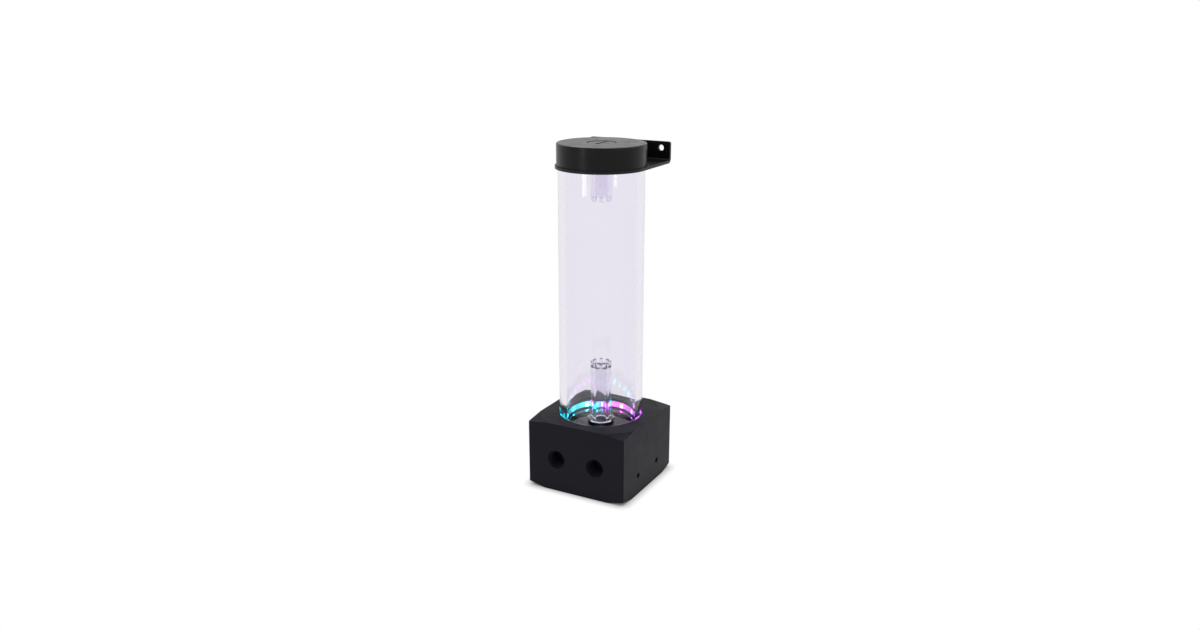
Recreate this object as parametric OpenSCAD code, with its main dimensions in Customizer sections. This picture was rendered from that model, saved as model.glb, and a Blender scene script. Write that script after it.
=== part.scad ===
// Tube reservoir with a circulation pump in its base block.
// The tube's axis is Z, the block stands on z = 0, and the ports open towards -Y.

/* [Base block] */
// Width and depth of the square block
block_w = 76.5; // [74:0.5:95]
// Height of the block
block_h = 50.9; // [50:0.1:64]
// Radius of the block's upright edges
block_edge_r = 0.8; // [0.4:0.1:3]
// Radius at which the turned bevel starts on the top face
top_bevel_r = 43.6; // [40:0.1:50]
// Slope of the top bevel, in degrees
top_bevel_angle = 11.5; // [5:0.5:25]
// Radius at which the turned bevel starts on the underside
foot_bevel_r = 45.4; // [40:0.1:50]
// Slope of the bottom bevel, in degrees
foot_bevel_angle = 18; // [5:0.5:30]
// Depth of the round recess for the tube
recess_depth = 14.9; // [13:0.1:16]

/* [Ports] */
// Thread diameter of both ports (G 1/4)
port_d = 13.16; // [9.7:0.01:16.7]
// Distance between the ports' axes
port_spacing = 31; // [28:0.5:34]
// Height of the ports' axes
port_z = 23.7; // [22:0.1:26]
// Depth of the port threads
port_depth = 11; // [8:0.5:12]
// Bevel round each port's mouth
port_bevel = 0.4; // [0.2:0.1:1]
// Bore of the coolant passages in the block
passage_d = 6; // [4:0.5:6.5]

/* [Side holes] */
// Thread diameter of the side fixing holes (M4)
side_hole_d = 4; // [3:0.5:5]
// Distance between the two holes of a side
side_hole_spacing = 30; // [20:1:44]
// Height of the side holes
side_hole_z = 14.1; // [13.5:0.1:17]
// Depth of the side holes
side_hole_depth = 7; // [5:0.5:8]

/* [Tube] */
// Outer diameter of the reservoir tube
tube_d = 60; // [56:0.5:62]
// Wall of the reservoir tube
tube_wall = 5; // [4:0.25:6]
// Length of tube that shows between the block and the bracket
tube_show = 177.4; // [100:0.1:380]
// How far the tube's foot stops above the recess floor
tube_foot_gap = 2.3; // [2:0.1:3]
// Radial step from the tube to the threaded collar at its top
collar_step = 1.3; // [1:0.1:2]
// Length of the threaded collar above the shoulder
collar_h = 11.2; // [8:0.1:20]

/* [Cap and bracket] */
// Wall of the cap round the collar's thread
cap_wall = 2.12; // [1.6:0.02:4]
// Height of the cap above the bracket
cap_h = 15.1; // [14:0.1:26]
// Rounding of the cap's upper edge
cap_edge_r = 0.9; // [0.3:0.1:2]
// Thickness of the bracket's sheet
sheet_t = 2; // [1.5:0.1:3]
// How far the bracket's ring stands out from under the cap
bracket_lip = 1; // [0.5:0.1:4]
// Distance from the tube's axis to the back of the bracket plate
bracket_back = 43.4; // [38:0.2:60]
// Height of the bracket plate, from the underside of its flange
bracket_h = 14.9; // [13:0.1:40]
// Inside radius of the bracket's bend
bend_r = 1.5; // [1:0.1:4]
// Diameter of the bracket's fixing holes
bracket_hole_d = 4.3; // [3.2:0.1:5.5]
// Distance of the bracket's fixing holes from the plate's side edges
bracket_hole_in = 6.9; // [5:0.1:14]
// Height of the bracket's fixing holes above its underside
bracket_hole_up = 10.4; // [8:0.1:11]

/* [Riser and down tube] */
// Outer diameter of both inner tubes
pipe_d = 14.9; // [12:0.1:16]
// Bore of both inner tubes
pipe_bore = 8; // [5:0.5:9]
// Height of the riser above the clear disc
riser_h = 45.7; // [25:0.1:90]
// Length of the down tube below its flange
down_h = 23.4; // [10:0.1:60]
// Diameter of the flange on each inner tube
flange_d = 19.6; // [18:0.1:21]
// Thickness of that flange
flange_t = 1.4; // [1:0.1:2]
// Number of teeth round an inner tube's open end
crown_teeth = 8; // [4:1:10]
// Width of the gaps between the teeth
crown_gap = 3.2; // [2:0.1:4]
// Depth of the gaps between the teeth
crown_depth = 3.6; // [1:0.1:6]

/* [Light ring] */
// Number of lights behind the tube's foot
led_count = 12; // [6:1:20]
// Angle of the first light round the tube, in degrees
led_turn = 22; // [0:1:60]
// Height of the groove for the light strip
led_groove_h = 5.4; // [4:0.1:6]
// Depth of that groove beyond the recess wall
led_groove_depth = 2.8; // [2:0.1:3]

/* [Pump] */
// Distance of the pump's axis behind the tube's axis
pump_back = 4; // [3:0.1:5]
// Width of the pump's square foot
pump_w = 56; // [54:0.5:57]
// Height of the pump's square foot
pump_foot_h = 7.9; // [6:0.1:8]
// Diameter of the pump's round barrel
barrel_d = 54; // [50:0.5:55]
// Height of the pump's barrel above its foot
barrel_h = 9.5; // [8:0.1:10]
// Diameter of the impeller
impeller_d = 31; // [24:0.5:32]
// Number of impeller vanes
vane_count = 7; // [4:1:9]
// Diameter of the ceramic shaft
shaft_d = 3; // [2:0.1:4]
// Number of motor poles
pole_count = 6; // [3:1:9]

/* [Bottom plate] */
// Width of the plate that holds the pump in
plate_w = 68; // [64:0.5:70]
// Thickness of that plate
plate_t = 3; // [2:0.1:4]
// Thread diameter of the plate's countersunk screws
plate_screw_d = 3; // [2.5:0.1:3.5]
// Distance between neighbouring plate screws
screw_pitch = 58; // [56:0.5:59]

/* [Filler plug] */
// Diameter of the plug's head
plug_head_d = 19.6; // [17:0.1:21]
// Thickness of the plug's head
plug_head_t = 1.9; // [1.5:0.1:2.5]
// Length of the coin slot
coin_slot_l = 14.6; // [8:0.1:16]
// Width of the coin slot
coin_slot_w = 2; // [1.5:0.1:3]

/* [Cable outlet] */
// Diameter of the hole for the rubber sleeve in the block's back
grommet_d = 9; // [8.5:0.1:9.5]
// Bore of the rubber sleeve
outlet_bore = 6.2; // [5.9:0.1:7]
// Thickness of the sleeve's lip outside the block
grommet_lip = 1; // [0.6:0.1:2]

/* [Fits] */
// Radial clearance of parts that slide together once
slip = 0.15; // [0.1:0.05:0.3]
// Radial clearance of the threads that turn
thread_slip = 0.08; // [0.03:0.01:0.1]
// Radial clearance of the rotor on its shaft
run_slip = 0.04; // [0.01:0.01:0.1]
// Gap between the rotor and its can
rotor_gap = 0.6; // [0.3:0.1:1]

/* [Hidden] */

$fn = 96;
eps = 0.01;

// Heights in the block, from its underside upwards
pad_t = 1.5;
pad_in = 3;
pad_hole_d = 30;
pump_z = plate_t + pad_t;
barrel_z = pump_z + pump_foot_h;
pump_top = barrel_z + barrel_h;
chamber_h = 6.4;
chamber_top = pump_top + chamber_h;
recess_z = block_h - recess_depth;
tube_foot_z = recess_z + tube_foot_gap;
shoulder_z = block_h + tube_show;
tube_top = shoulder_z + collar_h;

// Recess, light groove and clear disc
recess_r = tube_d / 2 + slip;
tube_r = tube_d / 2;
tube_bore_r = tube_r - tube_wall;
collar_d = tube_d - 2 * collar_step;
led_groove_lip = 2.3;
led_groove_z = block_h - led_groove_lip - led_groove_h;
strip_t = 0.5;
strip_gap = 0.1;
strip_play = 0.3;
strip_r = recess_r + led_groove_depth - strip_gap;
chip_w = 3.5;
chip_h = 2.8;
chip_t = led_groove_depth - strip_t - 3 * strip_gap;
chip_z = led_groove_z + (led_groove_h - chip_h) / 2;
disc_hub_h = 7.8;
disc_top = recess_z + disc_hub_h;
disc_rim_h = 0.9;
disc_hub_r = tube_bore_r - 0.2;
land_h = 0.7;
land_z = disc_top + land_h;
seal_d = 1.4;
seal_groove_w = seal_d + 0.6;
disc_seal_in = 3.6;
disc_seal_r = recess_r - disc_seal_in;
socket_r = 6.1;
socket_play = 0.1;
spigot_r = socket_r - socket_play;
spigot_h = 4.4;
feed_w = 7;
feed_h = 3.2;
feed_start = [8, -13];
feed_rise = 2;
feed_run_on = 2.5;
suction_d = 7;
suction_web = 1;
suction_at = [0, flange_d / 2 + suction_web + suction_d / 2];
suction_sink = 3.5;
suction_step = 1;
suction_dip = 3;

// Inner tubes
pipe_seal_d = 1.3;
pipe_seal_in = 1.1;
pipe_seal_r = flange_d / 2 - pipe_seal_in;
riser_flange_z = land_z + pipe_seal_d;
riser_top = disc_top + riser_h;
crown_turn = 28;

// Cap and bracket
cap_z = shoulder_z + sheet_t;
cap_top = cap_z + cap_h;
cap_seal_d = 1.5;
cap_ceiling = tube_top + cap_seal_d;
collar_bore_r = collar_d / 2 + thread_slip;
cap_d = 2 * (collar_bore_r + cap_wall);
bracket_w = cap_d + 2 * bracket_lip;
bracket_hole_spacing = bracket_w - 2 * bracket_hole_in;
cap_boss_wall = 5.42;
cap_boss_r = port_d / 2 + cap_boss_wall;
cap_boss_h = 8.9;
cap_boss_z = cap_ceiling - cap_boss_h;
down_flange_top = cap_boss_z - pipe_seal_d;
plate_front = bracket_back - sheet_t;
plate_corner_r = 1.5;

// Filler plug
plug_thread_h = 5;
plug_seal_d = 1.2;
plug_seal_r = (port_d + plug_head_d) / 4;
plug_chamfer = 0.4;
plug_dish_d = 8;
plug_dish = 3;
plug_sink = 0.2;
plug_seat_gap = 0.4;
plug_head_z = cap_top - plug_sink - plug_head_t;
plug_seat_z = plug_head_z - plug_seal_d;
plug_seat_r = plug_head_d / 2 + plug_seat_gap;
plug_thread_z = plug_seat_z - plug_thread_h;
coin_slot_depth = 1.1;
coin_slot_turn = 87;

// Pump
pocket_gap = 0.3;
pump_pocket_w = pump_w + 2 * pocket_gap;
barrel_pocket_r = barrel_d / 2 + pocket_gap;
pump_corner_r = 12;
plate_corner = 7;
screw_at = screw_pitch / 2;
screw_l = 12;
screw_head_d = 2 * plate_screw_d;
screw_hole_d = plate_screw_d + 0.4;
screw_sink = 0.3;
socket_depth = 0.4 * plate_screw_d;
socket_w = 0.77 * plate_screw_d;
screw_csk_h = (screw_head_d + 0.4 - screw_hole_d) / 2;
housing_floor_t = 2;
can_ledge = 1.2;
can_flange_t = 1.5;
can_flange_r = barrel_d / 2 - 3;
can_wall = 1;
can_bore_r = 11;
can_floor_z = pump_top - 11.4;
board_up = 1.2;
board_t = 1.6;
board_play = 0.8;
board_r = can_flange_r - can_ledge - board_play;
board_part_w = 5;
board_part_h = 1;
board_part_r = board_r - board_part_w - 3;
stator_bore_r = can_bore_r + can_wall + 0.2;
stator_r = barrel_d / 2 - 4.6;
stator_h = 6;
stator_z = can_floor_z + 2.2;
yoke_t = 2.6;
tooth_w = 3.2;
shoe_w = 8.8;
shoe_t = 1.4;
coil_t = 0.9;
coil_w = 7.2;
coil_play = 0.05;
coil_in_r = stator_bore_r + shoe_t + 0.1;
coil_l = sqrt(pow(stator_r - yoke_t, 2) - pow(coil_w / 2, 2)) - coil_in_r - 0.1;
chamber_r = impeller_d / 2 + 2.5;
volute_grow = 2;
volute_steps = 48;
eye_d = 9;
shaft_seat = 0.3;
shaft_over = 1.9;
rotor_r = can_bore_r - rotor_gap;
rotor_z = can_floor_z + can_wall + 0.7;
bearing_over = 0.3;
rotor_h = 9.2;
bearing_r = 3;
magnet_bore_r = 5;
shroud_t = 1;
vane_h = 2.4;
vane_t = 1.2;
vane_arc_r = 10.5;
vane_in = 0.3;
vane_shift = 1;
magnet_play = 0.05;
impeller_z = pump_top + 0.9;
shaft_top = impeller_z + shroud_t + shaft_over;
pump_seal_sec = 1.6;
pump_seal_play = 0.2;
pump_groove_r = barrel_pocket_r - pump_seal_sec;
pump_seal_z = pump_top - 3;
discharge_d = passage_d;
outlet_z = pump_z + pump_foot_h / 2;
outlet_wall = block_w / 2 - pump_back - pump_w / 2 - pocket_gap;
grommet_over = 6;
grommet_brim = 1;
lead_slip = 0.05;
lead_hole_d = 2.2;
lead_hole_turn = 135;
lead_run_on = 2;
lead_hole_r = recess_r + led_groove_depth - lead_hole_d / 2;
discharge_z = pump_top + 0.3 + discharge_d / 2;

// Shapes that repeat

module round_square(w, r) {
    square([w - 2 * r, w], center = true);
    square([w, w - 2 * r], center = true);
    for (x = [-1, 1], y = [-1, 1])
        translate([x * (w / 2 - r), y * (w / 2 - r)])
            circle(r);
}

module ring(r_in, r_out, h) {
    difference() {
        cylinder(h = h, r = r_out);
        translate([0, 0, -eps])
            cylinder(h = h + 2 * eps, r = r_in);
    }
}

module o_ring(r, section) {
    rotate_extrude()
        translate([r, section / 2])
            circle(d = section, $fn = 32);
}

// A straight round drilling from one point to another, run on by `over` at both ends
module drilling(from, to, d, over = 0) {
    way = to - from;
    translate(from)
        rotate([0, acos(way[2] / norm(way)), atan2(way[1], way[0])])
            translate([0, 0, -over])
                cylinder(h = norm(way) + 2 * over, d = d);
}

// The toothed open end: teeth are what is left between the gaps
module crown_gaps(h) {
    for (i = [0:crown_teeth - 1])
        rotate([0, 0, crown_turn + (i + 0.5) * 360 / crown_teeth])
            translate([pipe_bore / 4, -crown_gap / 2, 0])
                cube([pipe_d, crown_gap, h]);
}

module at_pump() {
    translate([0, pump_back, 0])
        children();
}

module at_plate_screws() {
    for (x = [-screw_at, screw_at], y = [-screw_at, screw_at])
        translate([x, y, 0])
            children();
}

// Base block

// The square bar, turned at both ends so that only its corners are bevelled
module block_blank() {
    reach = block_w;
    top_fall = (reach - top_bevel_r) * tan(top_bevel_angle);
    foot_rise = (reach - foot_bevel_r) * tan(foot_bevel_angle);
    intersection() {
        linear_extrude(block_h)
            round_square(block_w, block_edge_r);
        rotate_extrude($fn = 180)
            polygon([
                [0, 0], [foot_bevel_r, 0], [reach, foot_rise],
                [reach, block_h - top_fall], [top_bevel_r, block_h], [0, block_h]
            ]);
    }
}

module port_cut(x) {
    translate([x, -block_w / 2, port_z])
        rotate([-90, 0, 0]) {
            translate([0, 0, -eps])
                cylinder(h = port_depth + eps, d = port_d);
            translate([0, 0, -eps])
                cylinder(h = port_bevel + eps, d1 = port_d + 2 * port_bevel + 2 * eps, d2 = port_d);
        }
}

module side_hole_cuts() {
    for (side = [-1, 1], y = [-side_hole_spacing / 2, side_hole_spacing / 2])
        translate([side * (block_w / 2 - side_hole_depth), y, side_hole_z])
            rotate([0, side * 90, 0])
                cylinder(h = side_hole_depth + 1, d = side_hole_d, $fn = 48);
}

// Outline of the pump chamber, which widens towards the discharge
module volute_outline() {
    polygon([
        for (i = [0:volute_steps - 1])
            let (turn = 360 * i / volute_steps, r = chamber_r + volute_grow * i / volute_steps)
                [r * cos(180 + turn), r * sin(180 + turn)]
    ]);
}

module tube_recess_cuts() {
    translate([0, 0, recess_z])
        cylinder(h = recess_depth + 1, r = recess_r);
    translate([0, 0, led_groove_z])
        cylinder(h = led_groove_h, r = recess_r + led_groove_depth);
    translate([0, 0, recess_z - seal_d])
        ring(disc_seal_r - seal_groove_w / 2, disc_seal_r + seal_groove_w / 2, seal_d + eps);
}

module pump_pocket_cuts() {
    translate([0, 0, -eps])
        linear_extrude(plate_t + eps)
            round_square(plate_w + 2 * slip, plate_corner);
    at_pump() {
        linear_extrude(barrel_z + pocket_gap)
            round_square(pump_pocket_w, pump_corner_r);
        cylinder(h = pump_top, r = barrel_pocket_r);
        translate([0, 0, pump_top - eps])
            linear_extrude(chamber_h + eps)
                volute_outline();
    }
    at_plate_screws()
        cylinder(h = screw_l + 2, d = plate_screw_d + 2 * thread_slip, $fn = 32);
}

module passage_cuts() {
    front = port_depth - block_w / 2;
    drilling([port_spacing / 2, front, port_z + feed_rise], [feed_start[0], feed_start[1], recess_z],
        passage_d, feed_run_on);
    drilling([-port_spacing / 2, front - 1, discharge_z], [-port_spacing / 2, pump_back, discharge_z],
        discharge_d);
    drilling([0, pump_back, chamber_top - suction_dip],
        [suction_at[0], suction_at[1], recess_z - suction_sink], suction_d - suction_step);
    translate([suction_at[0], suction_at[1], recess_z - suction_sink])
        cylinder(h = suction_sink + 1, d = suction_d);
}

module cable_cuts() {
    translate([0, block_w / 2 + 1, outlet_z])
        rotate([90, 0, 0])
            cylinder(h = outlet_wall + grommet_over, d = grommet_d, $fn = 48);
    rotate([0, 0, lead_hole_turn])
        translate([lead_hole_r, 0, barrel_z - lead_run_on])
            cylinder(h = led_groove_z - barrel_z + 2 * lead_run_on, d = lead_hole_d, $fn = 32);
}

module base_block() {
    color([0.11, 0.11, 0.13])
        difference() {
            block_blank();
            port_cut(-port_spacing / 2);
            port_cut(port_spacing / 2);
            side_hole_cuts();
            tube_recess_cuts();
            pump_pocket_cuts();
            passage_cuts();
            cable_cuts();
        }
}

module bottom_plate() {
    color([0.16, 0.16, 0.18])
        difference() {
            linear_extrude(plate_t)
                round_square(plate_w, plate_corner);
            at_plate_screws() {
                translate([0, 0, -eps])
                    cylinder(h = plate_t + 2 * eps, d = screw_hole_d, $fn = 48);
                translate([0, 0, screw_sink - screw_csk_h])
                    cylinder(h = 2 * screw_csk_h, d1 = screw_head_d + 2 * screw_csk_h,
                        d2 = screw_hole_d - eps, $fn = 48);
            }
        }
}

module plate_screws() {
    color([0.55, 0.56, 0.58])
        at_plate_screws()
            translate([0, 0, screw_sink])
                difference() {
                    union() {
                        cylinder(h = plate_screw_d / 2, d1 = screw_head_d, d2 = plate_screw_d, $fn = 48);
                        cylinder(h = screw_l, d = plate_screw_d, $fn = 48);
                    }
                    translate([0, 0, -eps])
                        cylinder(h = socket_depth, d = socket_w, $fn = 6);
                }
}

// Pump

module pump_pad() {
    color([0.08, 0.08, 0.08])
        at_pump()
            translate([0, 0, plate_t])
                difference() {
                    linear_extrude(pad_t)
                        round_square(pump_w - 2 * pad_in, pump_corner_r);
                    translate([0, 0, -eps])
                        cylinder(h = pad_t + 2 * eps, d = pad_hole_d);
                }
}

module pump_housing() {
    color([0.13, 0.13, 0.14])
        at_pump()
            difference() {
                union() {
                    translate([0, 0, pump_z])
                        linear_extrude(pump_foot_h)
                            round_square(pump_w, pump_corner_r);
                    translate([0, 0, barrel_z])
                        cylinder(h = barrel_h, d = barrel_d);
                }
                translate([0, 0, pump_z + housing_floor_t])
                    cylinder(h = pump_top, r = can_flange_r - can_ledge);
                translate([0, 0, pump_top - can_flange_t])
                    cylinder(h = can_flange_t + 1, r = can_flange_r + slip);
                translate([0, 0, pump_seal_z])
                    ring(pump_groove_r, barrel_d / 2 + 1, pump_seal_sec + 2 * pump_seal_play);
                translate([0, barrel_d / 4, outlet_z])
                    rotate([-90, 0, 0])
                        cylinder(h = pump_w, d = outlet_bore, $fn = 48);
            }
}

module pump_board() {
    color([0.05, 0.3, 0.16])
        at_pump()
            translate([0, 0, pump_z + housing_floor_t + board_up]) {
                cylinder(h = board_t, r = board_r);
                for (turn = [30:120:270])
                    rotate([0, 0, turn])
                        translate([board_part_r, -board_part_w / 2, board_t - eps])
                            cube([board_part_w, board_part_w, board_part_h]);
            }
}

// A yoke with inward teeth, each ending in a shoe that follows the rotor can
module stator_core() {
    color([0.5, 0.5, 0.52])
        at_pump()
            translate([0, 0, stator_z])
                linear_extrude(stator_h) {
                    difference() {
                        circle(stator_r);
                        circle(stator_r - yoke_t);
                    }
                    intersection() {
                        difference() {
                            circle(stator_r - yoke_t / 2);
                            circle(stator_bore_r);
                        }
                        for (i = [0:pole_count - 1])
                            rotate(i * 360 / pole_count) {
                                translate([0, -tooth_w / 2])
                                    square([stator_r, tooth_w]);
                                translate([0, -shoe_w / 2])
                                    square([stator_bore_r + shoe_t, shoe_w]);
                            }
                    }
                }
}

module stator_coils() {
    color([0.72, 0.36, 0.16])
        at_pump()
            for (i = [0:pole_count - 1])
                rotate([0, 0, i * 360 / pole_count])
                    translate([coil_in_r, 0, stator_z - coil_t])
                        difference() {
                            translate([0, -coil_w / 2, 0])
                                cube([coil_l, coil_w, stator_h + 2 * coil_t]);
                            translate([-1, -tooth_w / 2 - coil_play, coil_t - coil_play])
                                cube([coil_l + 2, tooth_w + 2 * coil_play, stator_h + 2 * coil_play]);
                        }
}

// The partition that keeps the coolant and the rotor apart from the windings
module motor_can() {
    color([0.85, 0.85, 0.82])
        at_pump()
            difference() {
                union() {
                    translate([0, 0, can_floor_z])
                        cylinder(h = pump_top - can_floor_z, r = can_bore_r + can_wall);
                    translate([0, 0, pump_top - can_flange_t])
                        cylinder(h = can_flange_t, r = can_flange_r);
                }
                translate([0, 0, can_floor_z + can_wall])
                    cylinder(h = pump_top, r = can_bore_r);
                translate([0, 0, can_floor_z + shaft_seat])
                    cylinder(h = can_wall, d = shaft_d);
            }
}

module pump_seal() {
    color([0.04, 0.04, 0.04])
        at_pump()
            translate([0, 0, pump_seal_z + pump_seal_play])
                o_ring(pump_groove_r + pump_seal_sec / 2, pump_seal_sec);
}

module pump_shaft() {
    color([0.93, 0.92, 0.88])
        at_pump()
            translate([0, 0, can_floor_z + shaft_seat])
                cylinder(h = shaft_top - can_floor_z - shaft_seat, d = shaft_d, $fn = 48);
}

// One backward-swept vane, a strip along an arc from the eye to the rim
module vane() {
    tip_r = impeller_d / 2 - vane_in;
    linear_extrude(vane_h + shroud_t)
        intersection() {
            translate([0, vane_shift - vane_arc_r])
                difference() {
                    circle(vane_arc_r + vane_t / 2);
                    circle(vane_arc_r - vane_t / 2);
                }
            difference() {
                circle(tip_r);
                circle(eye_d / 2 + 2 * vane_in);
            }
            translate([0, -tip_r])
                square([tip_r + 1, 2 * tip_r]);
        }
}

// Back shroud, the drum that carries the magnet, and the sleeve through it
module impeller_hub() {
    back = impeller_z + shroud_t;
    rotate_extrude()
        polygon([
            [bearing_r, rotor_z], [magnet_bore_r - slip, rotor_z],
            [magnet_bore_r - slip, rotor_z + rotor_h + magnet_play],
            [rotor_r, rotor_z + rotor_h + magnet_play], [rotor_r, impeller_z],
            [impeller_d / 2, impeller_z], [impeller_d / 2, back], [bearing_r, back]
        ]);
}

module impeller() {
    color([0.9, 0.9, 0.88])
        at_pump() {
            impeller_hub();
            for (i = [0:vane_count - 1])
                translate([0, 0, impeller_z + shroud_t / 2])
                    rotate([0, 0, i * 360 / vane_count])
                        vane();
            translate([0, 0, impeller_z + shroud_t + vane_h])
                ring(eye_d / 2 + vane_shift, impeller_d / 2, shroud_t);
        }
}

module rotor_magnet() {
    color([0.25, 0.25, 0.27])
        at_pump()
            translate([0, 0, rotor_z])
                ring(magnet_bore_r, rotor_r, rotor_h);
}

module rotor_bearing() {
    color([0.2, 0.2, 0.2])
        at_pump()
            translate([0, 0, rotor_z - bearing_over])
                ring(shaft_d / 2 + run_slip, bearing_r, impeller_z + shroud_t - rotor_z + bearing_over);
}

// Light ring behind the tube's foot

module light_strip() {
    color([0.9, 0.9, 0.88])
        translate([0, 0, led_groove_z + strip_play])
            ring(strip_r - strip_t, strip_r, led_groove_h - 2 * strip_play);
}

module light_chips() {
    color([0.6, 0.95, 1])
        for (i = [0:led_count - 1])
            rotate([0, 0, led_turn + i * 360 / led_count])
                translate([strip_r - strip_t - chip_t - strip_gap, -chip_w / 2, chip_z])
                    cube([chip_t, chip_w, chip_h]);
}

// Clear disc that closes the coolant passages and carries the riser

module light_disc() {
    color([0.8, 0.9, 0.95, 0.4])
        difference() {
            union() {
                translate([0, 0, recess_z])
                    cylinder(h = disc_rim_h, r = recess_r - slip);
                translate([0, 0, recess_z])
                    cylinder(h = disc_hub_h, r = disc_hub_r);
                translate([0, 0, disc_top - eps])
                    cylinder(h = land_h + eps, d = flange_d);
            }
            translate([0, 0, land_z - spigot_h - 2 * socket_play])
                cylinder(h = spigot_h + 1, r = socket_r);
            translate([0, 0, recess_z - eps])
                cylinder(h = disc_hub_h, d = feed_w);
            translate([0, 0, recess_z - eps])
                rotate([0, 0, atan2(feed_start[1], feed_start[0])]) {
                    translate([0, -feed_w / 2, 0])
                        cube([norm(feed_start), feed_w, feed_h]);
                    translate([norm(feed_start), 0, 0])
                        cylinder(h = feed_h, d = feed_w);
                }
            translate([suction_at[0], suction_at[1], recess_z - eps])
                cylinder(h = disc_hub_h + 1, d = suction_d);
        }
}

module disc_seal() {
    color([0.04, 0.04, 0.04])
        translate([0, 0, recess_z - seal_d])
            o_ring(disc_seal_r, seal_d);
}

module foot_seal() {
    color([0.04, 0.04, 0.04])
        translate([0, 0, recess_z + disc_rim_h])
            o_ring(tube_r - tube_wall / 2, tube_foot_gap - disc_rim_h);
}

// Reservoir

module reservoir_tube() {
    color([0.86, 0.86, 0.92, 0.35])
        difference() {
            union() {
                translate([0, 0, tube_foot_z])
                    cylinder(h = shoulder_z - tube_foot_z, r = tube_r);
                translate([0, 0, shoulder_z - eps])
                    cylinder(h = collar_h + eps, d = collar_d);
            }
            translate([0, 0, tube_foot_z - 1])
                cylinder(h = tube_top - tube_foot_z + 2, r = tube_bore_r);
        }
}

// Inner tube with its flange on z = 0, its threaded spigot below and its toothed end up
module stand_pipe(length) {
    spigot_reach = pipe_seal_d + spigot_h;
    difference() {
        union() {
            translate([0, 0, -spigot_reach])
                cylinder(h = spigot_reach + flange_t, r = spigot_r);
            cylinder(h = flange_t, d = flange_d);
            cylinder(h = length, d = pipe_d);
        }
        translate([0, 0, -spigot_reach - 1])
            cylinder(h = spigot_reach + length + 2, d = pipe_bore);
        translate([0, 0, length - crown_depth])
            crown_gaps(crown_depth + 1);
    }
}

module riser_tube() {
    color([0.86, 0.86, 0.95, 0.4])
        translate([0, 0, riser_flange_z])
            stand_pipe(riser_top - riser_flange_z);
}

module riser_seal() {
    color([0.03, 0.03, 0.03])
        translate([0, 0, land_z])
            o_ring(pipe_seal_r, pipe_seal_d);
}

module down_tube() {
    color([0.86, 0.86, 0.95, 0.4])
        translate([0, 0, down_flange_top])
            mirror([0, 0, 1])
                stand_pipe(flange_t + down_h);
}

module down_tube_seal() {
    color([0.03, 0.03, 0.03])
        translate([0, 0, down_flange_top])
            o_ring(pipe_seal_r, pipe_seal_d);
}

// Cap and bracket

// The sheet's section: flange, bend and upright plate, drawn in the Y-Z plane
module bracket_section() {
    outer_bend = bend_r + sheet_t;
    translate([0, shoulder_z])
        square([bracket_back - outer_bend, sheet_t]);
    translate([plate_front, shoulder_z + outer_bend])
        square([sheet_t, bracket_h - outer_bend]);
    translate([bracket_back - outer_bend, shoulder_z + outer_bend])
        intersection() {
            difference() {
                circle(outer_bend);
                circle(bend_r);
            }
            translate([0, -outer_bend])
                square(outer_bend);
        }
}

// The bracket seen from above and behind, which trims the sheet to its outline
module bracket_trim() {
    top = shoulder_z + bracket_h;
    translate([0, 0, shoulder_z - 1])
        linear_extrude(sheet_t + bend_r + 1) {
            circle(d = bracket_w);
            translate([-bracket_w / 2, 0])
                square([bracket_w, bracket_back + 1]);
        }
    translate([0, bracket_back + 1, 0])
        rotate([90, 0, 0])
            linear_extrude(sheet_t + bend_r + 2) {
                translate([-bracket_w / 2, shoulder_z])
                    square([bracket_w, bracket_h - plate_corner_r]);
                translate([-bracket_w / 2 + plate_corner_r, shoulder_z])
                    square([bracket_w - 2 * plate_corner_r, bracket_h]);
                for (x = [-1, 1])
                    translate([x * (bracket_w / 2 - plate_corner_r), top - plate_corner_r])
                        circle(plate_corner_r);
            }
}

module wall_bracket() {
    color([0.05, 0.05, 0.06])
        difference() {
            intersection() {
                union() {
                    translate([bracket_w / 2 + 1, 0, 0])
                        rotate([90, 0, -90])
                            mirror([1, 0, 0])
                                linear_extrude(bracket_w + 2)
                                    bracket_section();
                    translate([0, 0, shoulder_z])
                        cylinder(h = sheet_t, d = bracket_w);
                }
                bracket_trim();
            }
            translate([0, 0, shoulder_z - 1])
                cylinder(h = sheet_t + 2, d = collar_d + 4 * slip);
            for (x = [-1, 1])
                translate([x * bracket_hole_spacing / 2, bracket_back + 1, shoulder_z + bracket_hole_up])
                    rotate([90, 0, 0])
                        cylinder(h = sheet_t + 2, d = bracket_hole_d, $fn = 48);
        }
}

module cap() {
    color([0.06, 0.06, 0.07])
        difference() {
            rotate_extrude($fn = 180) {
                translate([0, cap_z])
                    square([cap_d / 2, cap_h - cap_edge_r]);
                translate([0, cap_z])
                    square([cap_d / 2 - cap_edge_r, cap_h]);
                translate([cap_d / 2 - cap_edge_r, cap_top - cap_edge_r])
                    intersection() {
                        circle(cap_edge_r, $fn = 48);
                        square(cap_edge_r);
                    }
            }
            translate([0, 0, cap_z - 1])
                cylinder(h = cap_ceiling - cap_z + 1, r = collar_bore_r);
            plug_cuts();
        }
    color([0.06, 0.06, 0.07])
        difference() {
            translate([0, 0, cap_boss_z])
                cylinder(h = cap_ceiling - cap_boss_z + eps, r = cap_boss_r);
            plug_cuts();
        }
}

module plug_cuts() {
    translate([0, 0, plug_seat_z])
        cylinder(h = cap_top, r = plug_seat_r);
    translate([0, 0, plug_thread_z - 2 * socket_play])
        cylinder(h = cap_top, d = port_d);
    translate([0, 0, cap_boss_z - 1])
        cylinder(h = cap_top, r = socket_r);
}

module cap_seal() {
    color([0.04, 0.04, 0.04])
        translate([0, 0, tube_top])
            o_ring((tube_bore_r + collar_d / 2) / 2, cap_seal_d);
}

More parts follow.
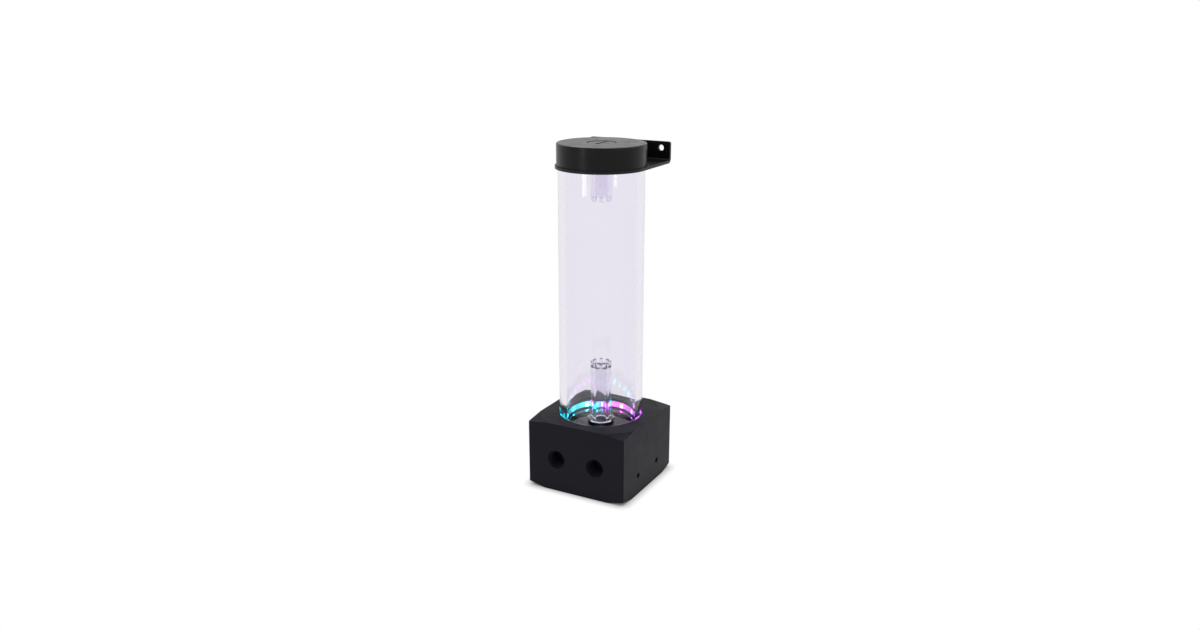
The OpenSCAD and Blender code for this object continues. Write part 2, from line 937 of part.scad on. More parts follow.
module filler_plug() {
    color([0.09, 0.1, 0.11])
        difference() {
            union() {
                translate([0, 0, plug_thread_z])
                    cylinder(h = plug_head_z - plug_thread_z + eps, d = port_d - 2 * thread_slip);
                translate([0, 0, plug_head_z])
                    cylinder(h = plug_head_t - plug_chamfer, d = plug_head_d);
                translate([0, 0, plug_head_z + plug_head_t - plug_chamfer - eps])
                    cylinder(h = plug_chamfer + eps, d1 = plug_head_d, d2 = plug_head_d - 2 * plug_chamfer);
            }
            rotate([0, 0, coin_slot_turn])
                translate([-coin_slot_l / 2, -coin_slot_w / 2, plug_head_z + plug_head_t - coin_slot_depth])
                    cube([coin_slot_l, coin_slot_w, 2]);
            translate([0, 0, plug_thread_z - 1])
                cylinder(h = plug_dish + 1, d = plug_dish_d);
        }
}

module plug_seal() {
    color([0.04, 0.04, 0.04])
        translate([0, 0, plug_seat_z])
            o_ring(plug_seal_r, plug_seal_d);
}

// Rubber sleeve where the pump's lead would leave the block

module cable_grommet() {
    color([0.05, 0.05, 0.05])
        translate([0, block_w / 2 + grommet_lip, outlet_z])
            rotate([90, 0, 0])
                difference() {
                    union() {
                        cylinder(h = outlet_wall + grommet_lip, d = grommet_d - 2 * lead_slip, $fn = 48);
                        cylinder(h = grommet_lip, d = grommet_d + 2 * grommet_brim, $fn = 48);
                    }
                    translate([0, 0, -eps])
                        cylinder(h = outlet_wall + 2, d = outlet_bore, $fn = 48);
                }
}

base_block();
bottom_plate();
plate_screws();
pump_pad();
pump_housing();
pump_board();
stator_core();
stator_coils();
motor_can();
pump_seal();
pump_shaft();
impeller();
rotor_magnet();
rotor_bearing();
light_strip();
light_chips();
light_disc();
disc_seal();
foot_seal();
reservoir_tube();
riser_tube();
riser_seal();
wall_bracket();
cap();
cap_seal();
down_tube();
down_tube_seal();
filler_plug();
plug_seal();
cable_grommet();
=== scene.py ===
"""Looks for a tube reservoir with a circulation pump in its base block.

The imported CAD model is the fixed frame. This script adds the threads in the
ports and side holes and the lenses of the light ring, and dresses every piece.
"""

import logging
import math
from dataclasses import dataclass, field
from enum import Enum
from typing import Any

import bmesh
import bpy
from mathutils import Matrix, Vector

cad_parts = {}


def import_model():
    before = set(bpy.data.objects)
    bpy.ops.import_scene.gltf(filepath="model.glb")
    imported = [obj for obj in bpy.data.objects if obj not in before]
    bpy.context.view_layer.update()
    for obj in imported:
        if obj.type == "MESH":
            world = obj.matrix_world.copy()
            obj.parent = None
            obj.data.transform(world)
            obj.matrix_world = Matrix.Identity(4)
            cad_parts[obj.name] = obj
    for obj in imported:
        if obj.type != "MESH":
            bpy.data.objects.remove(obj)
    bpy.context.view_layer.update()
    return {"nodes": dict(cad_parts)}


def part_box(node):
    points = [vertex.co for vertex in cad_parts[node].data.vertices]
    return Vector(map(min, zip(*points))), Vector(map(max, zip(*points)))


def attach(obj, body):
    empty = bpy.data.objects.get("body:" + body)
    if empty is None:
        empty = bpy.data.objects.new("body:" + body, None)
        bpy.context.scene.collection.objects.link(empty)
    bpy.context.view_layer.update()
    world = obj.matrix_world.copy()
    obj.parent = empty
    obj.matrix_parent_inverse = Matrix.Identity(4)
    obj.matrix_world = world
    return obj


LOG = logging.getLogger("reservoir")
MM = 0.001

# Patches of tone and gloss: how fine they break up, and the middle range of the noise they use.
PATCH_DETAIL, PATCH_ROUGHNESS = 4.0, 0.6
PATCH_LOW, PATCH_HIGH = 0.3, 0.7
# Grain and tool marks: how fine they break up, and how far a mark wanders from true.
GRAIN_DETAIL, MARK_DETAIL, MARK_WANDER = 2.0, 1.0, 0.4
EDGE_SAMPLES = 4
PAINTED_SHADOW_SAMPLES = 16


def linear(code: str, alpha: float = 1.0) -> tuple[float, float, float, float]:
    """Turn an sRGB hex colour to linear light.

    Args:
        code: Colour as "#rrggbb".
        alpha: Opacity that goes with it.

    Returns:
        Linear red, green, blue and alpha.
    """
    parts = [int(code[i : i + 2], 16) / 255 for i in (1, 3, 5)]
    r, g, b = (c / 12.92 if c <= 0.04045 else ((c + 0.055) / 1.055) ** 2.4 for c in parts)
    return (r, g, b, alpha)


def add(tree: bpy.types.NodeTree, kind: str, inputs: dict | None = None,
        **props: Any) -> bpy.types.Node:
    """Add one node with its settings and links.

    Args:
        tree: Node tree to add to.
        kind: Blender's name for the node type.
        inputs: Value or source socket for each input, by name or number.
        **props: Settings of the node itself.

    Returns:
        The node.
    """
    made = tree.nodes.new(kind)
    for name, value in props.items():
        setattr(made, name, value)
    for name, value in (inputs or {}).items():
        if isinstance(value, bpy.types.NodeSocket):
            tree.links.new(value, made.inputs[name])
        else:
            made.inputs[name].default_value = value
    return made


def wave_scale(pitch_mm: float) -> float:
    """Wave texture scale whose bands repeat at a real pitch in millimetres."""
    return math.pi / (10 * pitch_mm * MM)


def grain_scale(size_mm: float) -> float:
    """Noise texture scale whose grains have a real size in millimetres."""
    return 1 / (size_mm * MM)


class Marks(Enum):
    """Tool marks that a cutting step leaves on a face, as the wave texture's settings."""

    TURNED = {"wave_type": "RINGS", "rings_direction": "Z"}
    MILLED = {"wave_type": "BANDS", "bands_direction": "Z"}
    NONE = {}


@dataclass(frozen=True)
class Finish:
    """What a surface is made of and how it was made.

    Attributes:
        name: Material name, from the real material and process.
        base: Surface colour as sRGB hex.
        rough: Roughness of the smoothest areas.
        rough_spread: Added roughness in the dullest areas.
        ior: Index of refraction.
        metallic: 1 for bare metal, 0 for the rest.
        shade: Colour of the darker patches as sRGB hex.
        patch_mm: Size of the patches of tone and gloss.
        marks: Tool marks.
        pitch_mm: Spacing of the tool marks.
        mark_depth_mm: Depth of the tool marks.
        grain_mm: Size of the surface grain.
        grain_depth_mm: Depth of the surface grain.
        edge_mm: Radius that wear gives the sharp edges.
        gloss: Share of the mirror reflection, 0.5 for a smooth face and less for a blasted one.
    """

    name: str
    base: str
    shade: str
    rough: float
    rough_spread: float = 0.1
    ior: float = 1.5
    metallic: float = 0.0
    patch_mm: float = 9.0
    marks: Marks = Marks.NONE
    pitch_mm: float = 1.0
    mark_depth_mm: float = 0.01
    grain_mm: float = 0.5
    grain_depth_mm: float = 0.01
    edge_mm: float = 0.0
    gloss: float = 0.5

    def sockets(self) -> dict[str, Any]:
        """Constants for the shader's own sockets."""
        return {"IOR": self.ior, "Metallic": self.metallic,
                "Specular IOR Level": self.gloss}

    def material(self) -> bpy.types.Material:
        """Build the material.

        Returns:
            A node-based material with patches, tool marks and grain.
        """
        made = bpy.data.materials.new(self.name)
        made.use_nodes = True
        tree = made.node_tree
        tree.nodes.clear()
        place = add(tree, "ShaderNodeTexCoord").outputs["Object"]
        shader = add(tree, "ShaderNodeBsdfPrincipled", self.sockets())
        output = add(tree, "ShaderNodeOutputMaterial", {"Surface": shader.outputs[0]})
        self.paint(tree, place, shader, output)
        return made

    def paint(self, tree: bpy.types.NodeTree, place: bpy.types.NodeSocket,
              shader: bpy.types.Node, output: bpy.types.Node) -> None:
        """Link colour, roughness and relief to the shader.

        Args:
            tree: Material's node tree.
            place: Object coordinates in metres.
            shader: Principled shader.
            output: Material output.
        """
        patches = add(tree, "ShaderNodeTexNoise", {
            "Vector": place, "Scale": grain_scale(self.patch_mm),
            "Detail": PATCH_DETAIL, "Roughness": PATCH_ROUGHNESS})
        tone = add(tree, "ShaderNodeMix", {
            "Factor": patches.outputs[0], "A": linear(self.shade), "B": linear(self.base)},
            data_type="RGBA")
        tree.links.new(tone.outputs[2], shader.inputs["Base Color"])
        dullness = add(tree, "ShaderNodeMapRange", {
            "Value": patches.outputs[0], "From Min": PATCH_LOW, "From Max": PATCH_HIGH,
            "To Min": self.rough, "To Max": self.rough + self.rough_spread})
        tree.links.new(dullness.outputs[0], shader.inputs["Roughness"])
        tree.links.new(self.relief(tree, place), shader.inputs["Normal"])

    def relief(self, tree: bpy.types.NodeTree,
               place: bpy.types.NodeSocket) -> bpy.types.NodeSocket:
        """Normals of the worn edges, the grain and the tool marks.

        Args:
            tree: Material's node tree.
            place: Object coordinates in metres.

        Returns:
            Normal socket.
        """
        grain = add(tree, "ShaderNodeTexNoise", {
            "Vector": place, "Scale": grain_scale(self.grain_mm), "Detail": GRAIN_DETAIL})
        under = {"Height": grain.outputs[0], "Distance": self.grain_depth_mm * MM}
        if self.edge_mm:
            edge = add(tree, "ShaderNodeBevel", {"Radius": self.edge_mm * MM},
                       samples=EDGE_SAMPLES)
            under["Normal"] = edge.outputs[0]
        normal = add(tree, "ShaderNodeBump", under).outputs[0]
        if self.marks is not Marks.NONE:
            cut = add(tree, "ShaderNodeTexWave", {
                "Vector": place, "Scale": wave_scale(self.pitch_mm),
                "Distortion": MARK_WANDER, "Detail": MARK_DETAIL}, **self.marks.value)
            normal = add(tree, "ShaderNodeBump", {
                "Height": cut.outputs[1], "Distance": self.mark_depth_mm * MM,
                "Normal": normal}).outputs[0]
        return normal


@dataclass(frozen=True)
class ClearAcrylic(Finish):
    """Clear cast acrylic: glass-like, with a faint violet tint in its depth.

    Attributes:
        depth_tint: Colour that a deep wall takes on, as sRGB hex.
        depth_density: How fast it does so, for each metre. 0 leaves the depth clear.
    """

    depth_tint: str = "#c4afd4"
    depth_density: float = 0.0

    def sockets(self) -> dict[str, Any]:
        """Constants for a clear solid."""
        return {"IOR": self.ior, "Transmission Weight": 1.0, "Metallic": 0.0}

    def paint(self, tree: bpy.types.NodeTree, place: bpy.types.NodeSocket,
              shader: bpy.types.Node, output: bpy.types.Node) -> None:
        """Link the surface, and the tint that grows with the depth of the wall.

        Args:
            tree: Material's node tree.
            place: Object coordinates in metres.
            shader: Principled shader.
            output: Material output.
        """
        super().paint(tree, place, shader, output)
        if self.depth_density:
            depth = add(tree, "ShaderNodeVolumeAbsorption", {
                "Color": linear(self.depth_tint), "Density": self.depth_density})
            tree.links.new(depth.outputs[0], output.inputs["Volume"])


@dataclass(frozen=True)
class Glow(Finish):
    """A surface that gives off light, whose colour runs round the ring. On the chip lenses it is
    the chips' own light; on the strip film and chip housings it is painted glow.

    Attributes:
        stops: Place from left to right across the ring, and colour, for each step.
        strength: Brightness of the light.
        reach_mm: Half the width that the colours run over.
        turn: Angle of the run of colours in the ring's plane, in degrees.
    """

    stops: tuple[tuple[float, str], ...] = ()
    strength: float = 1.0
    reach_mm: float = 32.0
    turn: float = 28.35

    def sockets(self) -> dict[str, Any]:
        """Constants with the brightness."""
        return {"IOR": self.ior, "Metallic": 0.0, "Emission Strength": self.strength}

    def paint(self, tree: bpy.types.NodeTree, place: bpy.types.NodeSocket,
              shader: bpy.types.Node, output: bpy.types.Node) -> None:
        """Link the run of colours to the shader's emission.

        Args:
            tree: Material's node tree.
            place: Object coordinates in metres.
            shader: Principled shader.
            output: Material output.
        """
        super().paint(tree, place, shader, output)
        turn = math.radians(self.turn)
        across = add(tree, "ShaderNodeVectorMath", {
            0: place, 1: (math.cos(turn), math.sin(turn), 0.0)}, operation="DOT_PRODUCT")
        share = add(tree, "ShaderNodeMapRange", {
            "Value": across.outputs["Value"],
            "From Min": -self.reach_mm * MM, "From Max": self.reach_mm * MM})
        colours = add(tree, "ShaderNodeValToRGB", {"Fac": share.outputs[0]})
        steps = colours.color_ramp.elements
        while len(steps) < len(self.stops):
            steps.new(1.0)
        for step, (at, code) in zip(steps, self.stops):
            step.position = at
            step.color = linear(code)
        tree.links.new(colours.outputs[0], shader.inputs["Emission Color"])


# Cyan on the left of the ring, through blue, to magenta and violet on the right.
RING_COLOURS = ((0.0, "#0a8f9c"), (0.2, "#20c8d2"), (0.42, "#7fe4f4"), (0.55, "#9a9cf2"),
                (0.72, "#e06ad2"), (0.88, "#c05ae0"), (1.0, "#8a4ac8"))

# Acetal milled from bar and then blasted: black with a cool cast, and hardly any mirror in it.
# Cutter marks are about 0.1 mm apart. Here and below they are drawn coarser, so that they show.
MILLED_ACETAL = Finish(
    "milled_black_acetal", "#16161f", "#111119", 0.42, 0.1, 1.4, patch_mm=14, grain_mm=0.6,
    grain_depth_mm=0.012, marks=Marks.TURNED, pitch_mm=0.9, mark_depth_mm=0.006, edge_mm=0.25,
    gloss=0.14)
# Acetal turned on a lathe: fine rings on the flat ends that spread the light in a fan.
TURNED_ACETAL = Finish(
    "turned_black_acetal", "#08080b", "#050507", 0.26, 0.1, 1.45, patch_mm=10, grain_mm=0.5,
    grain_depth_mm=0.006, marks=Marks.TURNED, pitch_mm=0.8, mark_depth_mm=0.012, edge_mm=0.25,
    gloss=0.2)
# Acetal plate, milled in straight passes.
PLATE_ACETAL = Finish(
    "milled_acetal_plate", "#141418", "#0e0e12", 0.45, 0.12, 1.48, marks=Marks.MILLED,
    pitch_mm=1.2, mark_depth_mm=0.01, edge_mm=0.2, gloss=0.25)
# Steel sheet with a fine black powder coat: even, slightly pebbled satin.
COATED_STEEL = Finish(
    "powder_coated_steel_sheet", "#08080a", "#050506", 0.34, 0.08, 1.5, grain_mm=0.7,
    grain_depth_mm=0.02, edge_mm=0.3, gloss=0.2)
# Steel screws, zinc plated: bright grey with a soft shine.
PLATED_STEEL = Finish(
    "zinc_plated_steel", "#8f9296", "#6e7175", 0.3, 0.15, metallic=1.0, patch_mm=2, grain_mm=0.3)
# Nitrile rubber, moulded: matt black that catches little light.
NITRILE = Finish(
    "moulded_nitrile_rubber", "#0c0c0c", "#070707", 0.55, 0.15, 1.52, patch_mm=3, grain_mm=0.3)
# Closed-cell foam: dull, with cells that show as pits.
FOAM = Finish(
    "closed_cell_foam", "#1a1a1b", "#101011", 0.85, 0.1, 1.45, patch_mm=2, grain_mm=0.6,
    grain_depth_mm=0.15)
# Glass-filled polyamide, moulded with a fine spark-eroded texture.
FILLED_POLYAMIDE = Finish(
    "moulded_filled_polyamide", "#1e1e20", "#141416", 0.5, 0.15, 1.53, grain_mm=0.4,
    grain_depth_mm=0.03)
# Glass-fibre board under green solder resist.
CIRCUIT_BOARD = Finish(
    "green_resist_board", "#0f4a26", "#0a3a1d", 0.35, 0.1, 1.55, patch_mm=1.5, grain_mm=0.8,
    grain_depth_mm=0.03)
# Stacked silicon steel sheets, half a millimetre each.
ELECTRICAL_STEEL = Finish(
    "laminated_silicon_steel", "#7d7f84", "#5c5e63", 0.4, 0.15, metallic=1.0, marks=Marks.MILLED,
    pitch_mm=0.5, mark_depth_mm=0.05)
# Enamelled copper wire in tight turns.
COPPER_WIRE = Finish(
    "enamelled_copper_wire", "#b5622e", "#8a421a", 0.3, 0.12, metallic=1.0, marks=Marks.MILLED,
    pitch_mm=0.5, mark_depth_mm=0.12)
# Natural polyphenylene sulphide: waxy tan-white moulding.
NATURAL_PLASTIC = Finish(
    "natural_moulded_plastic", "#d9d3c4", "#c8c1b0", 0.38, 0.12, 1.6, patch_mm=5, grain_mm=0.5)
# Ground alumina: dense white with a soft polish.
ALUMINA = Finish(
    "ground_alumina", "#efece4", "#e2ded4", 0.16, 0.08, 1.76, patch_mm=2, grain_mm=0.3)
# Bonded ferrite: dark grey with a faint metallic cast.
FERRITE = Finish(
    "bonded_ferrite", "#2b2b2e", "#1f1f22", 0.5, 0.15, 1.8, patch_mm=2, grain_mm=0.3,
    grain_depth_mm=0.02)
# Resin-bonded carbon: near-black with a graphite sheen.
CARBON = Finish(
    "bonded_carbon", "#1a1a1c", "#121214", 0.4, 0.15, 1.8, patch_mm=1.5, grain_mm=0.3)
# Cast acrylic tube, polished outside and in: clear, with a violet tint where the wall is deep.
CAST_ACRYLIC = ClearAcrylic(
    "cast_acrylic_tube", "#f9f8fb", "#f7f6fa", 0.0, 0.01, 1.49, patch_mm=40, grain_mm=30,
    grain_depth_mm=0.03, depth_density=20.0)
# Acrylic turned and polished: the rings of the lathe are just left in it.
TURNED_ACRYLIC = ClearAcrylic(
    "turned_clear_acrylic", "#f4f2fa", "#f0eef8", 0.02, 0.03, 1.49, patch_mm=12, grain_mm=8,
    grain_depth_mm=0.02, marks=Marks.MILLED, pitch_mm=0.8, mark_depth_mm=0.004)
# White polyimide film. The light of the chips beside it, which it throws back, is painted glow in
# its emission.
STRIP_FILM_PAINTED_GLOW = Glow(
    "white_strip_film_painted_glow", "#e8e8e6", "#d8d8d6", 0.5, 0.1, 1.5, patch_mm=3, grain_mm=0.4,
    stops=RING_COLOURS, strength=2.0)
# White moulded chip housings. The chips' light on them is painted glow in their emission.
CHIP_HOUSING_PAINTED_GLOW = Glow(
    "white_chip_housing_painted_glow", "#ececea", "#dededc", 0.4, 0.1, 1.55, patch_mm=1, grain_mm=0.2,
    stops=RING_COLOURS, strength=4.0)
# Silicone lens over each chip: the source of the coloured light.
CHIP_LENS = Glow(
    "silicone_chip_lens", "#ffffff", "#f4f4f4", 0.3, 0.05, 1.41, patch_mm=1, grain_mm=0.2,
    stops=RING_COLOURS, strength=45.0)


def dress(node: bpy.types.Object, finish: Finish, made: dict[Finish, bpy.types.Material]) -> None:
    """Give a piece its finish in every material slot.

    Args:
        node: Piece to dress.
        finish: Its finish.
        made: Materials built so far, by finish.
    """
    if finish not in made:
        made[finish] = finish.material()
    if not node.data.materials:
        node.data.materials.append(made[finish])
    for i in range(len(node.data.materials)):
        node.data.materials[i] = made[finish]
    LOG.info("%s: %s", node.name, finish.name)


@dataclass
class SubAssembly:
    """Pieces that are fitted together and ride on one or more CAD bodies.

    Attributes:
        nodes: All CAD nodes by name.
        made: Materials built so far, by finish.
        finishes: Finish of each CAD node of this sub-assembly.
    """

    nodes: dict[str, bpy.types.Object]
    made: dict[Finish, bpy.types.Material]
    finishes: dict[str, Finish] = field(default_factory=dict)

    def build(self) -> None:
        """Make the pieces that the CAD model leaves out. Most have none."""

    def dress(self) -> None:
        """Give each CAD node its finish."""
        for name, finish in self.finishes.items():
            dress(self.nodes[name], finish, self.made)

    def piece(self, name: str, form: bmesh.types.BMesh, finish: Finish, body: str,
              slot: str) -> bpy.types.Object:
        """Turn a form into a dressed piece that rides on a body.

        Args:
            name: Piece name.
            form: Its geometry, which is freed.
            finish: Its finish.
            body: CAD body that it rides on.
            slot: Record's material slot; not used.

        Returns:
            The piece.
        """
        mesh = bpy.data.meshes.new(name)
        bmesh.ops.recalc_face_normals(form, faces=form.faces)
        form.to_mesh(mesh)
        form.free()
        for face in mesh.polygons:
            face.use_smooth = True
        made = bpy.data.objects.new(name, mesh)
        bpy.context.scene.collection.objects.link(made)
        dress(made, finish, self.made)
        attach(made, body)
        return made


@dataclass(frozen=True)
class InnerThread:
    """A cut thread that winds down the wall of a hole.

    Attributes:
        wall_mm: Radius of the hole in the CAD model, the thread's root.
        crest_mm: Radius of the crests.
        pitch_mm: Rise of one turn.
        length_mm: Length of the thread.
        steps: Sections in one turn.
        root_share: Half the ridge's width at its root, as a share of the pitch.
        crest_share: Half its width at the crest, as a share of the pitch.
    """

    wall_mm: float
    crest_mm: float
    pitch_mm: float
    length_mm: float
    steps: int = 48
    root_share: float = 0.42
    crest_share: float = 0.08

    def wind(self, form: bmesh.types.BMesh, place: Matrix) -> None:
        """Add the ridge to a form.

        Args:
            form: Geometry to add to.
            place: Where the hole's mouth is, with its Z pointing in.
        """
        half_root, half_crest = self.root_share * self.pitch_mm, self.crest_share * self.pitch_mm
        turns = (self.length_mm - 2 * half_root) / self.pitch_mm
        half_turn = self.steps / 2
        count = int(turns * self.steps)
        rows = []
        for i in range(count + 1):
            angle = 2 * math.pi * i / self.steps
            rise = half_root + self.pitch_mm * i / self.steps
            fade = min(1.0, i / half_turn, (count - i) / half_turn)
            crest = self.wall_mm - (self.wall_mm - self.crest_mm) * fade
            section = ((self.wall_mm, -half_root), (crest, -half_crest),
                       (crest, half_crest), (self.wall_mm, half_root))
            rows.append([form.verts.new(place @ Vector((r * math.cos(angle), r * math.sin(angle),
                                                        rise + dz))) for r, dz in section])
        for a, b in zip(rows, rows[1:]):
            for k in range(4):
                form.faces.new((a[k], a[(k + 1) % 4], b[(k + 1) % 4], b[k]))
        form.faces.new(rows[0])
        form.faces.new(tuple(reversed(rows[-1])))


@dataclass
class BaseBlock(SubAssembly):
    """Milled block with its bottom plate, ports and side holes.

    Attributes:
        port_x_mm: Distance of each port from the middle of the front.
        port_z_mm: Height of the ports.
        port_start_mm: Plain length at a port's mouth.
        port_thread: G 1/4 thread of the ports.
        side_y_mm: Distance of each side hole from the middle of the side.
        side_z_mm: Height of the side holes.
        side_thread: Thread of the side holes.
    """

    port_x_mm: float = 15.5
    port_z_mm: float = 23.7
    port_start_mm: float = 0.5
    port_thread: InnerThread = InnerThread(6.58, 5.75, 1.337, 10.2)
    side_y_mm: float = 15.0
    side_z_mm: float = 14.1
    side_thread: InnerThread = InnerThread(2.0, 1.65, 0.7, 6.8, 24)
    finishes: dict[str, Finish] = field(default_factory=lambda: {
        "base_block": MILLED_ACETAL, "bottom_plate": PLATE_ACETAL, "plate_screws": PLATED_STEEL,
        "cable_grommet": NITRILE})

    def build(self) -> None:
        """Cut the threads of the ports and the side holes."""
        low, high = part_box("base_block")
        ports = bmesh.new()
        for side in (-1, 1):
            mouth = Matrix.Translation((side * self.port_x_mm * MM, low.y, self.port_z_mm * MM))
            self.port_thread.wind(ports, mouth @ Matrix.Rotation(-math.pi / 2, 4, "X")
                                  @ Matrix.Scale(MM, 4)
                                  @ Matrix.Translation((0, 0, self.port_start_mm)))
        self.piece("port_threads", ports, MILLED_ACETAL, "block", "black_acetal")
        sides = bmesh.new()
        for x, turn in ((low.x, math.pi / 2), (high.x, -math.pi / 2)):
            for y in (-self.side_y_mm, self.side_y_mm):
                mouth = Matrix.Translation((x, y * MM, self.side_z_mm * MM))
                self.side_thread.wind(sides, mouth @ Matrix.Rotation(turn, 4, "Y")
                                      @ Matrix.Scale(MM, 4))
        self.piece("side_hole_threads", sides, MILLED_ACETAL, "block", "black_acetal")


@dataclass
class PumpUnit(SubAssembly):
    """Canned pump that is closed in the block."""

    finishes: dict[str, Finish] = field(default_factory=lambda: {
        "pump_pad": FOAM, "pump_housing": FILLED_POLYAMIDE, "pump_board": CIRCUIT_BOARD,
        "stator_core": ELECTRICAL_STEEL, "stator_coils": COPPER_WIRE, "motor_can": NATURAL_PLASTIC,
        "pump_seal": NITRILE, "pump_shaft": ALUMINA, "impeller": NATURAL_PLASTIC,
        "rotor_magnet": FERRITE, "rotor_bearing": CARBON})


@dataclass
class LightRing(SubAssembly):
    """Strip of coloured lights round the tube's foot, and the clear disc inside it.

    Attributes:
        count: Number of chips.
        first_turn: Angle of the first chip round Z, in degrees.
        lens_w_mm: Width of a lens along the ring.
        lens_h_mm: Height of a lens.
        lens_t_mm: Thickness of a lens, half of it let into the chip's face.
    """

    count: int = 12
    first_turn: float = 22.0
    lens_w_mm: float = 2.9
    lens_h_mm: float = 2.3
    lens_t_mm: float = 0.1
    finishes: dict[str, Finish] = field(default_factory=lambda: {
        "light_strip": STRIP_FILM_PAINTED_GLOW, "light_chips": CHIP_HOUSING_PAINTED_GLOW, "light_disc": TURNED_ACRYLIC,
        "disc_seal": NITRILE, "foot_seal": NITRILE})

    def build(self) -> None:
        """Add the lens on the inner face of each chip."""
        low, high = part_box("light_chips")
        chips = self.nodes["light_chips"].data
        middle_r = min(math.hypot(v.co.x, v.co.y) for v in chips.vertices) - self.lens_t_mm * MM / 2
        mid_z = (low.z + high.z) / 2
        sized = Matrix.Diagonal((self.lens_t_mm * MM, self.lens_w_mm * MM,
                                 self.lens_h_mm * MM, 1.0))
        lenses = bmesh.new()
        for i in range(self.count):
            turn = Matrix.Rotation(math.radians(self.first_turn + i * 360 / self.count), 4, "Z")
            made = bmesh.ops.create_cube(lenses, size=1.0)["verts"]
            bmesh.ops.transform(lenses, verts=made, matrix=turn @ Matrix.Translation(
                (middle_r, 0, mid_z)) @ sized)
        self.piece("chip_lenses", lenses, CHIP_LENS, "block", "light_chip")


@dataclass
class Reservoir(SubAssembly):
    """Clear tube with its riser and down tube."""

    finishes: dict[str, Finish] = field(default_factory=lambda: {
        "reservoir_tube": CAST_ACRYLIC, "riser_tube": TURNED_ACRYLIC, "riser_seal": NITRILE,
        "down_tube": TURNED_ACRYLIC, "down_tube_seal": NITRILE, "cap_seal": NITRILE})


@dataclass
class CapAndBracket(SubAssembly):
    """Screwed cap with its filler plug, and the sheet bracket under it."""

    finishes: dict[str, Finish] = field(default_factory=lambda: {
        "cap": TURNED_ACETAL, "filler_plug": TURNED_ACETAL, "plug_seal": NITRILE,
        "wall_bracket": COATED_STEEL})


@dataclass(frozen=True)
class Viewpoint:
    """Where the camera stands and what lens it has.

    Attributes:
        turn: Angle round Z from the front, in degrees.
        height: Angle above the horizon, in degrees.
        away: Distance from the point looked at, in metres.
        look_at: That point.
        lens_mm: Focal length.
        roll: Tilt of the frame, in degrees.
        shift: Shift of the frame as shares of its width.
        film_mm: Width of the film.
        near: Nearest distance seen, in metres.
        far: Farthest distance seen, in metres.
    """

    turn: float = 28.35
    height: float = 16.14
    away: float = 0.731
    look_at: tuple[float, float, float] = (0.0, 0.0, 0.130)
    lens_mm: float = 31.0
    roll: float = 0.14
    shift: tuple[float, float] = (-0.000975, -0.00729)
    film_mm: float = 36.0
    near: float = 0.01
    far: float = 50.0

    def place(self) -> None:
        """Add the camera to the scene and make it the active one."""
        turn, height = math.radians(self.turn), math.radians(self.height)
        back = Vector((math.sin(turn) * math.cos(height), -math.cos(turn) * math.cos(height),
                       math.sin(height)))
        data = bpy.data.cameras.new("camera")
        data.lens, data.sensor_width = self.lens_mm, self.film_mm
        data.shift_x, data.shift_y = self.shift
        data.clip_start, data.clip_end = self.near, self.far
        camera = bpy.data.objects.new("camera", data)
        aim = (-back).to_track_quat("-Z", "Y").to_matrix().to_4x4()
        camera.matrix_world = (Matrix.Translation(Vector(self.look_at) + back * self.away)
                               @ aim @ Matrix.Rotation(math.radians(self.roll), 4, "Z"))
        bpy.context.scene.collection.objects.link(camera)
        bpy.context.scene.camera = camera


@dataclass(frozen=True)
class Softbox:
    """A plain area lamp.

    Attributes:
        name: Lamp name.
        at: Its centre, in metres.
        size: Width and height, in metres.
        watts: Power.
        colour: Colour as sRGB hex.
        aim: Point that it faces.
    """

    name: str
    at: tuple[float, float, float]
    size: tuple[float, float]
    watts: float
    colour: str = "#ffffff"
    aim: tuple[float, float, float] = (0.0, 0.0, 0.12)

    def hang(self) -> None:
        """Add the lamp to the scene."""
        data = bpy.data.lights.new(self.name, "AREA")
        data.shape, data.size, data.size_y = "RECTANGLE", *self.size
        data.energy, data.color = self.watts, linear(self.colour)[:3]
        lamp = bpy.data.objects.new(self.name, data)
        facing = (Vector(self.aim) - Vector(self.at)).to_track_quat("-Z", "Y").to_matrix().to_4x4()
        lamp.matrix_world = Matrix.Translation(self.at) @ facing
        lamp.visible_camera = False
        bpy.context.scene.collection.objects.link(lamp)


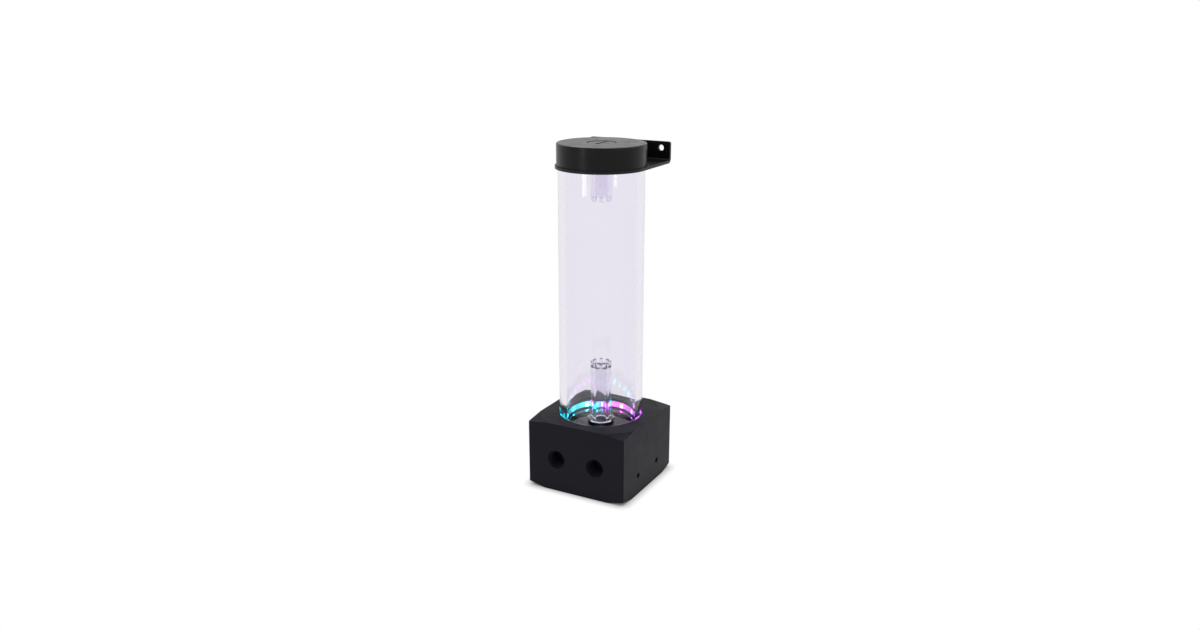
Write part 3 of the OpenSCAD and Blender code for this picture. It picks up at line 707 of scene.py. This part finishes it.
@dataclass
class Studio:
    """White floor, white surround and soft lamps.

    Attributes:
        floor_radius: Radius of the floor, in metres.
        floor_sides: Sides of the floor's outline.
        floor_drop: Gap under the object, in metres, so that faces never coincide.
        painted_shadow_reach: How far the painted contact shadow spreads, in metres.
        surround: Strength of the fill light from all round.
        lamps: Soft lamps.
    """

    floor_radius: float = 8.0
    floor_sides: int = 96
    floor_drop: float = 0.0002
    painted_shadow_reach: float = 0.007
    surround: float = 0.55
    lamps: tuple[Softbox, ...] = (
        Softbox("overhead_box", (0.35, 0.5, 1.2), (0.9, 0.9), 5.0),
        Softbox("left_strip", (-0.30, -0.88, 0.45), (0.10, 0.9), 1.6),
        Softbox("right_box", (0.95, -0.2, 0.7), (0.5, 0.8), 1.6),
    )

    def build(self) -> None:
        """Lay the floor, paint the surround and hang the lamps."""
        form = bmesh.new()
        bmesh.ops.create_circle(form, cap_ends=True, segments=self.floor_sides,
                                radius=self.floor_radius)
        mesh = bpy.data.meshes.new("floor")
        form.to_mesh(mesh)
        form.free()
        floor = bpy.data.objects.new("floor", mesh)
        floor.location.z = -self.floor_drop
        mesh.materials.append(self.floor_paint())
        bpy.context.scene.collection.objects.link(floor)
        self.paint_surround()
        for lamp in self.lamps:
            lamp.hang()

    def floor_paint(self) -> bpy.types.Material:
        """White paper, lit by the lamps, that is white in views, glass and gloss; there its contact
        shadow is painted shade, the white emission darkened by ambient occlusion.
        """
        made = bpy.data.materials.new("white_paper_floor")
        made.use_nodes = True
        tree = made.node_tree
        tree.nodes.clear()
        paper = add(tree, "ShaderNodeBsdfDiffuse", {"Color": linear("#f2f2f2")})
        # Painted shadow: ambient occlusion darkens the white emission where the object meets the
        # floor.
        shadow = add(tree, "ShaderNodeAmbientOcclusion", {"Distance": self.painted_shadow_reach},
                     samples=PAINTED_SHADOW_SAMPLES)
        white = add(tree, "ShaderNodeEmission", {"Color": linear("#ffffff"),
                                                 "Strength": shadow.outputs["AO"]})
        both = add(tree, "ShaderNodeMixShader", {
            0: self.seen(tree), 1: paper.outputs[0], 2: white.outputs[0]})
        add(tree, "ShaderNodeOutputMaterial", {"Surface": both.outputs[0]})
        return made

    def seen(self, tree: bpy.types.NodeTree) -> bpy.types.NodeSocket:
        """1 where the background is seen directly, in gloss or through glass."""
        path = add(tree, "ShaderNodeLightPath")
        two = add(tree, "ShaderNodeMath", {
            0: path.outputs["Is Camera Ray"], 1: path.outputs["Is Glossy Ray"]},
            operation="MAXIMUM")
        return add(tree, "ShaderNodeMath", {
            0: two.outputs[0], 1: path.outputs["Is Transmission Ray"]},
            operation="MAXIMUM").outputs[0]

    def paint_surround(self) -> None:
        """White where it is seen, and plain fill light for the rest."""
        world = bpy.data.worlds.new("surround")
        world.use_nodes = True
        tree = world.node_tree
        tree.nodes.clear()
        plain = add(tree, "ShaderNodeBackground", {"Color": linear("#ffffff"),
                                                   "Strength": self.surround})
        white = add(tree, "ShaderNodeBackground", {"Color": linear("#ffffff"), "Strength": 1.0})
        both = add(tree, "ShaderNodeMixShader", {
            0: self.seen(tree), 1: plain.outputs[0], 2: white.outputs[0]})
        add(tree, "ShaderNodeOutputWorld", {"Surface": both.outputs[0]})
        bpy.context.scene.world = world


def main() -> None:
    """Load the frame, build each sub-assembly, and set the stage."""
    logging.basicConfig(level=logging.INFO, format="%(name)s %(message)s")
    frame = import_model()
    Viewpoint().place()
    made: dict[Finish, bpy.types.Material] = {}
    for kind in (BaseBlock, PumpUnit, LightRing, Reservoir, CapAndBracket):
        part = kind(frame["nodes"], made)
        part.build()
        part.dress()
        LOG.info("%s done", kind.__name__)
    Studio().build()
    bpy.context.scene.view_settings.view_transform = "Standard"


if __name__ == "__main__":
    main()
